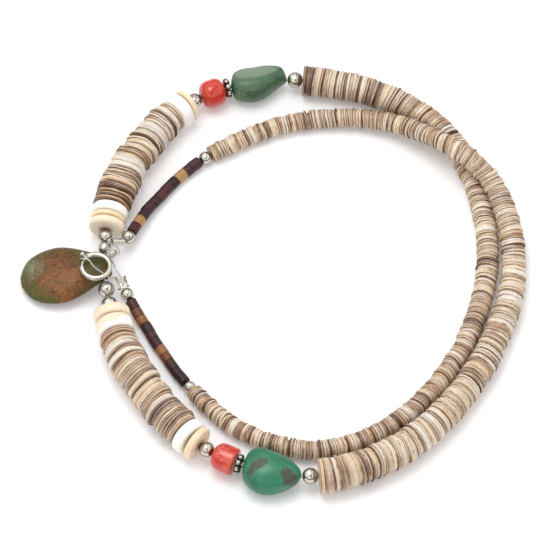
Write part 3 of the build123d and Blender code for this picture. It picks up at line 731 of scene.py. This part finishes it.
class StageSettings(bpy.types.PropertyGroup):
    """Camera, floor and light."""
    distance: FloatProperty(name="Distance", description="From camera to coil", default=5.0, unit="LENGTH")
    elevation: FloatProperty(name="Elevation", description="Camera's angle above the floor", subtype="ANGLE",
                             default=math.radians(57.0))
    view_width: size_property("View width", "Width that the picture shows at the coil", 115.55)
    floor: color_property("Floor", "Pale floor", 244, 244, 245)
    key: FloatProperty(name="Key light", description="Power of the soft light", default=3.4, unit="POWER")
    fill: FloatProperty(name="Surround", description="Strength of the light from all sides", default=1.01)


# Operators

class NECKLACE_OT_body_heishi(bpy.types.Operator):
    """Make the two long strings of thin graduated shell discs"""
    bl_idname = "necklace.body_heishi"
    bl_label = "Body heishi"

    def execute(self, context):
        shell = context.scene.necklace_shell
        material = shell_finish("shell_heishi", shell, relief=0.012, streaks=0.9)
        section = ((0.0, 0.0), (0.0, 1.0), (1.0, 1.0), (1.0, 0.0))
        for word in SIDES:
            start, end, _ = BEADS[f"{word}_body_heishi"]
            discs, share = shell_string(BODY_ORDER[word], start, end, shell.body_gap, 11)
            rng = np.random.default_rng(5)
            radii = np.interp(share, *zip(*BODY_TAPER[word])) / 2 * MM
            radii *= 1 - np.abs(rng.normal(size=len(radii))) * 0.042
            string_piece(word, "body_heishi", discs, radii, section, material, sides=shell.sides,
                         warp=0.20 * MM, drift=shell.body_drift, lean=0.06 * MM, chips=0.007, seed=3)
        return {"FINISHED"}


class NECKLACE_OT_thick_heishi(bpy.types.Operator):
    """Make the two front strings of large shell discs"""
    bl_idname = "necklace.thick_heishi"
    bl_label = "Thick heishi"

    def execute(self, context):
        shell = context.scene.necklace_shell
        material = shell_finish("thick_heishi", shell, relief=0.016, streaks=0.6)
        section = ((0.0, 0.0), (0.0, 0.5), (0.0, 0.975), (0.10, 1.0), (0.5, 1.0), (0.90, 1.0),
                   (1.0, 0.975), (1.0, 0.5), (1.0, 0.0))
        for word in SIDES:
            start, end, diameter = BEADS[f"{word}_thick_heishi"]
            discs, share = shell_string(THICK_ORDER[word], start, end, shell.thick_gap, 23)
            rng = np.random.default_rng(8)
            radii = (diameter + (THICK_END_D[word] * MM - diameter) * share) / 2
            radii *= 1 + np.clip(rng.normal(size=len(radii)), -1.5, 1.0) * 0.035
            string_piece(word, "thick_heishi", discs, radii, section, material, sides=32, warp=0.45 * MM,
                         drift=shell.thick_drift, lean=0.12 * MM, chips=0.010, seed=2)
        return {"FINISHED"}


class NECKLACE_OT_dark_heishi(bpy.types.Operator):
    """Make the two strings of small dark beads beside the clasp"""
    bl_idname = "necklace.dark_heishi"
    bl_label = "Dark heishi"

    def execute(self, context):
        finish = Finish("dark_heishi")
        kind, depth, chance = finish.mark("kind"), finish.mark("depth"), finish.mark("chance")
        cloud = finish.noise(0.5, 2.0)
        grain = finish.noise_on(finish.vector(depth * 2.6 + cloud, chance * 90.0, cloud), 1.6, 4.0, 0.65)
        color = finish.palette(
            kind + (cloud - 0.5) * 0.24, (0.0, tint(34, 20, 22)), (0.20, tint(66, 32, 34)),
            (0.38, tint(88, 46, 36)), (0.62, tint(140, 84, 44)), (0.80, tint(168, 128, 76)),
            (1.0, tint(196, 168, 122)))
        pores = finish.palette(grain, (0.32, (0.55, 0.5, 0.5)), (0.56, (1.0, 1.0, 1.0)))
        color = finish.multiply(0.7, color, pores)
        material = finish.surface({"Base Color": color, "Roughness": 0.36 + grain * 0.2, "IOR": 1.42,
                                   "Normal": finish.bump(grain, 0.012)})
        section = ((0.0, 0.0), (0.0, 0.55), (0.0, 0.93), (0.05, 0.98), (0.15, 1.0), (0.85, 1.0), (0.95, 0.98),
                   (1.0, 0.93), (1.0, 0.55), (1.0, 0.0))
        lengths, gap = (1.1, 0.8, 1.2, 0.9, 1.0), 0.07 * MM
        for word in SIDES:
            start, end, diameter = BEADS[f"{word}_dark_heishi"]
            kinds = np.array(DARK_ORDER[word])
            long = np.resize(lengths, len(kinds))
            long = long / long.sum() * (end - start - gap * (len(kinds) - 1))
            starts = start + np.concatenate(([0.0], np.cumsum(long[:-1] + gap)))
            rng = np.random.default_rng(31)
            radii = diameter / 2 * (1.03 - np.abs(rng.normal(size=len(kinds))) * 0.03)
            discs = (starts, long, kinds, np.zeros(len(kinds)))
            string_piece(word, "dark_heishi", discs, radii, section, material, sides=20, warp=0.0,
                         drift=0.06 * MM, lean=0.05 * MM, chips=0.004, seed=7)
        return {"FINISHED"}


class NECKLACE_OT_shell_discs(bpy.types.Operator):
    """Make the nine large cream and white discs"""
    bl_idname = "necklace.shell_discs"
    bl_label = "Shell discs"
    # Tone on the shell's colour ramp and strength of the warm tone round the bore
    TONES = {
        "right_cream_disc_1": (0.20, 0.9), "right_cream_disc_2": (0.40, 0.3),
        "right_white_disc_1": (0.0, 0.0), "right_white_disc_2": (0.0, 0.0), "right_cream_disc_3": (0.30, 0.6),
        "left_cream_disc_1": (0.24, 0.7), "left_white_disc_1": (0.02, 0.1), "left_white_disc_2": (0.0, 0.0),
        "left_cream_disc_2": (0.36, 1.0),
    }

    @staticmethod
    def disc_finish(name, shell):
        """Smooth shell that turns brown round the bore, with faint layers and, where marked, a cream edge."""
        finish = Finish(name)
        kind, warm, out, across = (finish.mark(word) for word in ("kind", "layer", "out", "across"))
        cloud, grain = finish.noise(0.28, 3.0, 0.5), finish.noise(2.2, 4.0, 0.6)
        base = finish.palette(
            kind + (cloud - 0.5) * 0.30 * kind.ramp(0.0, 0.2), (0.0, shell.disc_white),
            (0.22, shell.disc_cream), (0.42, tint(240, 214, 172)), (0.7, shell.peach))
        level = finish.vector(across * 7.0 + cloud * 3.0, kind * 70.0, cloud * 2.0)
        strata = finish.noise_on(level, 1.0, 3.0)
        wavy = across + (finish.noise(0.16, 1.0) - 0.5) * 2.2
        core = (out + (cloud - 0.5) * 0.45).ramp(0.46, 0.10)
        color = finish.layered(
            base, (strata.ramp(0.50, 0.62) * (0.12 + warm * 0.5), tint(232, 208, 172)),
            (strata.ramp(0.46, 0.34) * warm * 0.5, shell.disc_white),
            (wavy.ramp(0.42, 0.36) * finish.mark("edge"), shell.disc_cream), (core * warm, tint(158, 92, 58)))
        return finish.surface({
            "Base Color": color, "Roughness": 0.26 + grain * 0.16, "IOR": 1.53, "Subsurface Weight": 0.15,
            "Subsurface Radius": (1.0, 0.7, 0.5), "Subsurface Scale": 0.8 * MM,
            "Normal": finish.bump(grain + cloud * 2.0, 0.012)})

    def execute(self, context):
        for family in ("cream", "white"):
            material = self.disc_finish(f"{family}_shell", context.scene.necklace_shell)
            for i, (node, (tone, bore_tone)) in enumerate(self.TONES.items()):
                if family not in node:
                    continue
                start, end, diameter = BEADS[node]
                length = end - start
                profile = disc_profile(length, diameter / 2, min(0.42 * length, 0.7 * MM))
                marks = {"kind": tone, "layer": bore_tone, "edge": float(node == "left_white_disc_1"),
                         "out": profile[:, 1:] / (diameter / 2), "across": profile[:, :1] / length + 0.5}
                points = turned(node, profile, sides=48, wobble=0.012, seed=40 + i)
                make_piece(node, "shell", points, material, marks)
        return {"FINISHED"}


class NECKLACE_OT_silver_beads(bpy.types.Operator):
    """Make the twelve silver balls"""
    bl_idname = "necklace.silver_beads"
    bl_label = "Silver beads"

    def execute(self, context):
        metal = context.scene.necklace_metal
        material = silver_finish("silver", metal, rough=0.12, dents=0.10, tarnish=0.6)
        for node in sorted(n for n in BEADS if "silver_bead" in n):
            radius = BEADS[node][2] / 2
            mouth = math.asin(MOUTH * BORE_R / radius)
            angle = np.linspace(mouth, math.pi - mouth, 22)
            lip = radius * math.cos(mouth) - 0.10 * MM
            profile = [(-lip, BORE_R), *zip(-radius * np.cos(angle), radius * np.sin(angle)), (lip, BORE_R)]
            seed = 60 + int(node[-1]) + side_of(node)
            make_piece(node, "ball", turned(node, profile, sides=36, wobble=0.012, seed=seed), material)
        return {"FINISHED"}


class NECKLACE_OT_silver_spacers(bpy.types.Operator):
    """Make the two rings of small silver balls"""
    bl_idname = "necklace.silver_spacers"
    bl_label = "Silver spacers"
    balls: IntProperty(name="Balls", description="Balls in a spacer", default=8, min=5, max=14)

    def execute(self, context):
        metal = context.scene.necklace_metal
        material = silver_finish("oxidised_silver", metal, rough=0.14, dents=0.02, tarnish=0.4, hollows=True)
        neck = 0.16 * MM
        for node in ("right_silver_spacer", "left_silver_spacer"):
            start, end, diameter = BEADS[node]
            middle, level, up, along = seat(node)
            turn, bend = circle(20 * self.balls), circle(24)[:, None]
            # A ring whose section swells to a ball's radius and shrinks to the neck between two balls
            widest = (end - start) / 2
            ring = diameter / 2 - widest
            phase = (turn * self.balls / (2 * np.pi)) % 1 - 0.5
            pitch = 2 * np.pi * ring / self.balls
            ball = np.sqrt(np.maximum(widest ** 2 - (phase * pitch) ** 2, neck ** 2))[None, :]
            radius = ring + ball * np.cos(bend)
            inside = BORE_R + (np.minimum(radius, ring) - BORE_R) * (1 + np.minimum(np.cos(bend), 0)) ** 1.5
            radius = np.where(np.cos(bend) < 0, inside, radius)
            reach = ball * np.sin(bend)
            points = round_line(middle + reach[..., None] * along, level, up, turn, radius)
            hollow = np.clip(1.3 - ball / widest, 0, 1) + 0.9 * (np.cos(bend) < -0.3)
            make_piece(node, "balls", points, material, {"hollow": np.clip(hollow, 0, 1)}, flip=False)
        return {"FINISHED"}


class NECKLACE_OT_coral_beads(bpy.types.Operator):
    """Make the two coral barrels"""
    bl_idname = "necklace.coral_beads"
    bl_label = "Coral beads"
    # Radii of the near and the far end's rounding as shares of the diameter, and paleness
    SHAPES = {"right_coral_bead": (0.34, 0.26, 0.1), "left_coral_bead": (0.34, 0.09, 1.0)}

    def execute(self, context):
        stone = context.scene.necklace_stone
        finish = Finish("coral")
        cloud, vein = finish.noise(0.35, 3.0, 0.6, twist=0.6), finish.noise(1.4, 4.0, 0.6)
        ends, pale = finish.mark("end"), finish.mark("pale")
        color = finish.layered(
            stone.coral, (cloud.ramp(0.42, 0.66) * (0.08 + pale * 0.75), stone.coral_pale),
            (vein.ramp(0.56, 0.70) * pale * 0.5, tint(238, 170, 140)),
            ((ends + (vein - 0.5) * 0.25).ramp(0.80, 0.98) * 0.9, tint(118, 30, 22)))
        material = finish.surface({
            "Base Color": color, "Roughness": 0.09 + vein * 0.12 + pale * 0.08, "IOR": 1.56,
            "Coat Weight": 0.25, "Subsurface Weight": 0.12, "Subsurface Radius": (1.0, 0.25, 0.12),
            "Subsurface Scale": 0.8 * MM, "Normal": finish.bump(cloud + vein * 0.25, 0.04)})
        for node, (near, far, paleness) in self.SHAPES.items():
            start, end, diameter = BEADS[node]
            profile = barrel_profile(end - start, diameter / 2, near * diameter, far * diameter)
            marks = {"end": np.clip(1.35 - profile[:, 1:] / (diameter / 2), 0, 1), "pale": paleness}
            points = turned(node, profile, sides=56, wobble=0.02, seed=71 + side_of(node))
            make_piece(node, "barrel", points, material, marks, smooth_under=50.0)
        return {"FINISHED"}


class NECKLACE_OT_turquoise_nuggets(bpy.types.Operator):
    """Make the two turquoise pebbles"""
    bl_idname = "necklace.turquoise_nuggets"
    bl_label = "Turquoise nuggets"
    # Ragged brown patches: place in millimetres and radius
    PATCHES = {
        "left": (((-4.9, -49.9, 6.6), 0.9), ((-3.9, -48.8, 7.0), 1.1), ((-2.8, -48.2, 7.2), 1.2),
                 ((-1.8, -47.9, 7.2), 0.8), ((3.2, -51.1, 5.4), 1.6), ((2.6, -50.2, 6.0), 1.3),
                 ((4.1, -51.6, 4.6), 1.2)),
        "right": (((-6.7, 46.0, 4.9), 1.0), ((-5.8, 46.1, 5.3), 1.1), ((-4.6, 46.6, 5.4), 0.9)),
    }

    def stone_finish(self, name, word, base, matrix, veins, brown, spots):
        """Cloudy turquoise with fine veins, a paler worn flat and ragged brown patches whose grain shows
        between the spots' two levels."""
        finish = Finish(name)
        cloud, fine = finish.noise(0.20, 4.0, 0.6, twist=0.5), finish.noise(1.5, 5.0, 0.65)
        dark, light = [0.70 * c for c in base], [min(1.0, 1.35 * c + 0.02) for c in base]
        vein = (finish.noise(0.30, 5.0, 0.6, twist=1.2) - 0.5).abs().ramp(0.020, 0.004)
        patch, *others = (finish.spot(*place, ragged=0.55, waves=0.7) for place in self.PATCHES[word])
        for other in others:
            patch = patch.math("MAXIMUM", patch, other)
        low, high, strength = spots
        spotted = patch * (finish.noise(2.5, 3.0, 0.7).ramp(low, high) * strength)
        worn = (finish.mark("worn") + (cloud - 0.5) * 0.5).ramp(0.05, 0.60)
        color = finish.layered(
            dark, (cloud.ramp(0.38, 0.62), base), (fine.ramp(0.54, 0.76) * 0.45, light),
            (vein * veins, matrix), (worn * (0.35 + fine * 0.5), tint(138, 152, 126)), (spotted, brown))
        return finish.surface({
            "Base Color": color, "Roughness": 0.30 + fine * 0.22, "IOR": 1.55, "Coat Weight": 0.12,
            "Normal": finish.bump(cloud + fine * 0.3 - spotted * 0.5, 0.06)})

    def execute(self, context):
        stone = context.scene.necklace_stone
        for name, word, base, veins, brown, spots in (
                ("green_turquoise", "left", stone.green, 0.22, stone.matrix, (0.30, 0.50, 0.92)),
                ("grey_turquoise", "right", stone.grey_green, 0.10, tint(158, 142, 108), (0.50, 0.60, 0.45))):
            node = f"{word}_turquoise_nugget"
            points, worn = pebble(node)
            material = self.stone_finish(name, word, base, stone.matrix, veins, brown, spots)
            make_piece(node, "stone", points, material, {"worn": worn})
        return {"FINISHED"}


class NECKLACE_OT_stone_drop(bpy.types.Operator):
    """Finish the mottled stone drop"""
    bl_idname = "necklace.stone_drop"
    bl_label = "Stone drop"

    def execute(self, context):
        stone = context.scene.necklace_stone
        finish = Finish("drop_stone")
        cloud, patch = finish.noise(0.16, 4.0, 0.6, twist=0.5), finish.noise(0.45, 6.0, 0.7, twist=0.4)
        fine = finish.noise(2.4, 5.0, 0.7)
        middle = finish.spot((-44.5, 0.2, 3.5), 5.6, ragged=0.8, waves=0.22)
        core = finish.spot((-44.2, -1.6, 4.5), 4.2, ragged=1.6, waves=0.25, soft=0.5)
        # Painted highlight: a ragged pale green-white glint on the drop's left side, mixed into the colour
        # further down
        painted_highlight = finish.spot((-50.6, 2.6, 4.2), 2.2, ragged=1.2, waves=0.35, soft=0.9)
        green = (cloud * 0.4 + patch * 0.4 + fine * 0.2).ramp(0.56, 0.46) * (1.0 - middle * 0.8)
        color = finish.layered(
            stone.drop_brown, (green, stone.drop_green),
            (core * patch.ramp(0.36, 0.60) * 0.75, stone.drop_rust),
            (patch.ramp(0.54, 0.64) * 0.8, tint(68, 42, 22)),
            (fine.ramp(0.54, 0.68) * 0.55, tint(156, 132, 80)))
        color = finish.multiply(fine.ramp(0.48, 0.34) * 0.7, color, (0.62, 0.55, 0.42))
        # The painted highlight goes over the mottled colour
        color = finish.mix(painted_highlight * fine.ramp(0.30, 0.70) * 0.6, color, tint(160, 168, 134))
        dress("stone_drop", finish.surface({
            "Base Color": color, "Roughness": 0.30 + fine * 0.22, "IOR": 1.32,
            "Normal": finish.bump(patch + fine * 0.5, 0.05)}))
        return {"FINISHED"}


class NECKLACE_OT_wire(bpy.types.Operator):
    """Make the twisted wire loops and finish the strand wire and the crimps"""
    bl_idname = "necklace.wire"
    bl_label = "Wire and crimps"

    def execute(self, context):
        metal = context.scene.necklace_metal
        finish = Finish("bead_wire")
        fine = finish.noise(4.0, 3.0, 0.6)
        steel = finish.surface({
            "Base Color": finish.mix(fine.ramp(0.25, 0.5), metal.tarnish, metal.steel), "Metallic": 0.85,
            "Roughness": 0.30 + fine * 0.15, "Normal": finish.bump(fine, 0.01)})
        crimp = silver_finish("crimp_metal", metal, rough=0.26, dents=0.14, tarnish=0.95)
        dress("strand_wire", steel)
        dress("left_crimp", crimp)
        make_piece("right_crimp", "squeezed", squeezed_tube(), crimp, flip=False)
        lay, step, turn = 2.4 * MM, 0.09 * MM, circle(24)
        for node, route in (("left_wire_loop", EYE_LOOP), ("right_wire_loop", RING_LOOP)):
            line = Strand(route)
            run = np.linspace(0, line.length, int(line.length / step))[:, None]
            place, level, up, _ = line.at(run)
            # Six strands laid round a core: the radius has six humps that turn with the distance along
            humps = np.abs(np.cos(3 * (turn - 2 * np.pi * run / lay)))
            points = round_line(place, level, up, turn, WIRE_R * (0.66 + 0.18 * humps))
            make_piece(node, "twist", points, steel, capped=True)
        return {"FINISHED"}


class NECKLACE_OT_clasp(bpy.types.Operator):
    """Finish the spring ring and its bolt"""
    bl_idname = "necklace.clasp"
    bl_label = "Clasp"

    def execute(self, context):
        metal = context.scene.necklace_metal
        material = silver_finish("clasp_silver", metal, rough=0.20, dents=0.012, tarnish=0.2)
        for node in ("clasp_ring", "clasp_bolt"):
            dress(node, material)
        return {"FINISHED"}


class NECKLACE_OT_stage(bpy.types.Operator):
    """Set the floor, the camera and the light"""
    bl_idname = "necklace.stage"
    bl_label = "Stage"

    def execute(self, context):
        stage = context.scene.necklace_stage
        scene = bpy.context.scene
        half = 3.0
        corners = [(-half, -half, 0), (half, -half, 0), (half, half, 0), (-half, half, 0)]
        mesh = bpy.data.meshes.new("floor")
        mesh.from_pydata(corners, [], [(0, 1, 2, 3)])
        mesh.materials.append(Finish("floor").surface({
            "Base Color": stage.floor, "Roughness": 0.7, "Emission Color": (1.0, 1.0, 1.0),
            "Emission Strength": 0.09}))
        floor = bpy.data.objects.new("floor", mesh)
        scene.collection.objects.link(floor)

        world = bpy.data.worlds.new("surround")
        nodes = Nodes(world)
        toward = nodes.add("ShaderNodeTexCoord", output="Generated")
        # Polished metal sees soft boxes overhead, a dark gap between them, dark walls and a dark camera side.
        # Dull surfaces see an even light.
        window = nodes.measure("DOT_PRODUCT", toward, (-0.35, 0.50, 0.79))
        even = nodes.mix(window.ramp(-0.2, 0.8), (0.82, 0.82, 0.85), (1.0, 1.0, 1.0))
        height, side = (nodes.add("ShaderNodeSeparateXYZ", {0: toward}, output=axis) for axis in "ZX")
        behind = nodes.measure("DOT_PRODUCT", toward, (0.15, -0.52, 0.84))
        boxes = height.ramp(0.22, 0.42) * (side - 0.25).abs().ramp(0.03, 0.10) * behind.ramp(0.985, 0.95)
        studio = nodes.mix(boxes, (0.10, 0.095, 0.09), (1.2, 1.2, 1.2))
        shade = nodes.mix(nodes.add("ShaderNodeLightPath", output="Is Glossy Ray"), even, studio)
        background = nodes.add("ShaderNodeBackground", {"Color": shade, "Strength": stage.fill})
        nodes.end("ShaderNodeOutputWorld", background)
        scene.world = world

        light = bpy.data.lights.new("key", "AREA")
        light.energy = stage.key
        light.shape = "DISK"
        light.size = 0.6
        key = bpy.data.objects.new("key", light)
        key.location = (-0.14, 0.16, 0.95)
        key.rotation_euler = (-key.location).to_track_quat("-Z", "Y").to_euler()
        scene.collection.objects.link(key)

        camera_data = bpy.data.cameras.new("camera")
        camera_data.sensor_width = 36.0
        camera_data.lens = camera_data.sensor_width * stage.distance / stage.view_width
        camera_data.clip_start = 0.01
        camera_data.clip_end = 20.0
        camera = bpy.data.objects.new("camera", camera_data)
        aim = Vector((0.30 * MM, 3.15 * MM, 0.0))
        away = Vector((0, -math.cos(stage.elevation), math.sin(stage.elevation)))
        camera.location = aim + stage.distance * away
        camera.rotation_euler = (aim - camera.location).to_track_quat("-Z", "Y").to_euler()
        scene.collection.objects.link(camera)
        scene.camera = camera
        scene.view_settings.view_transform = "Standard"
        return {"FINISHED"}


MAKERS = (
    NECKLACE_OT_body_heishi, NECKLACE_OT_thick_heishi, NECKLACE_OT_dark_heishi, NECKLACE_OT_shell_discs,
    NECKLACE_OT_silver_beads, NECKLACE_OT_silver_spacers, NECKLACE_OT_coral_beads,
    NECKLACE_OT_turquoise_nuggets, NECKLACE_OT_stone_drop, NECKLACE_OT_wire, NECKLACE_OT_clasp,
    NECKLACE_OT_stage,
)


class NECKLACE_PT_panel(bpy.types.Panel):
    """Lists the settings and the makers of the necklace"""
    bl_label = "Necklace"
    bl_idname = "NECKLACE_PT_panel"
    bl_space_type = "VIEW_3D"
    bl_region_type = "UI"
    bl_category = "Necklace"

    def draw(self, context):
        for name in SETTINGS:
            box = self.layout.box()
            for key in getattr(context.scene, name).bl_rna.properties.keys():
                if key not in ("rna_type", "name"):
                    box.prop(getattr(context.scene, name), key)
        for maker in MAKERS:
            self.layout.operator(maker.bl_idname)


SETTINGS = {
    "necklace_shell": ShellSettings,
    "necklace_stone": StoneSettings,
    "necklace_metal": MetalSettings,
    "necklace_stage": StageSettings,
}


def register():
    for name, group in SETTINGS.items():
        bpy.utils.register_class(group)
        setattr(bpy.types.Scene, name, PointerProperty(type=group))
    for maker in MAKERS:
        bpy.utils.register_class(maker)
    bpy.utils.register_class(NECKLACE_PT_panel)


def unregister():
    bpy.utils.unregister_class(NECKLACE_PT_panel)
    for maker in reversed(MAKERS):
        bpy.utils.unregister_class(maker)
    for name, group in SETTINGS.items():
        delattr(bpy.types.Scene, name)
        bpy.utils.unregister_class(group)


def main():
    register()
    for maker in MAKERS:
        group, name = maker.bl_idname.split(".")
        getattr(getattr(bpy.ops, group), name)()


if __name__ == "__main__":
    main()
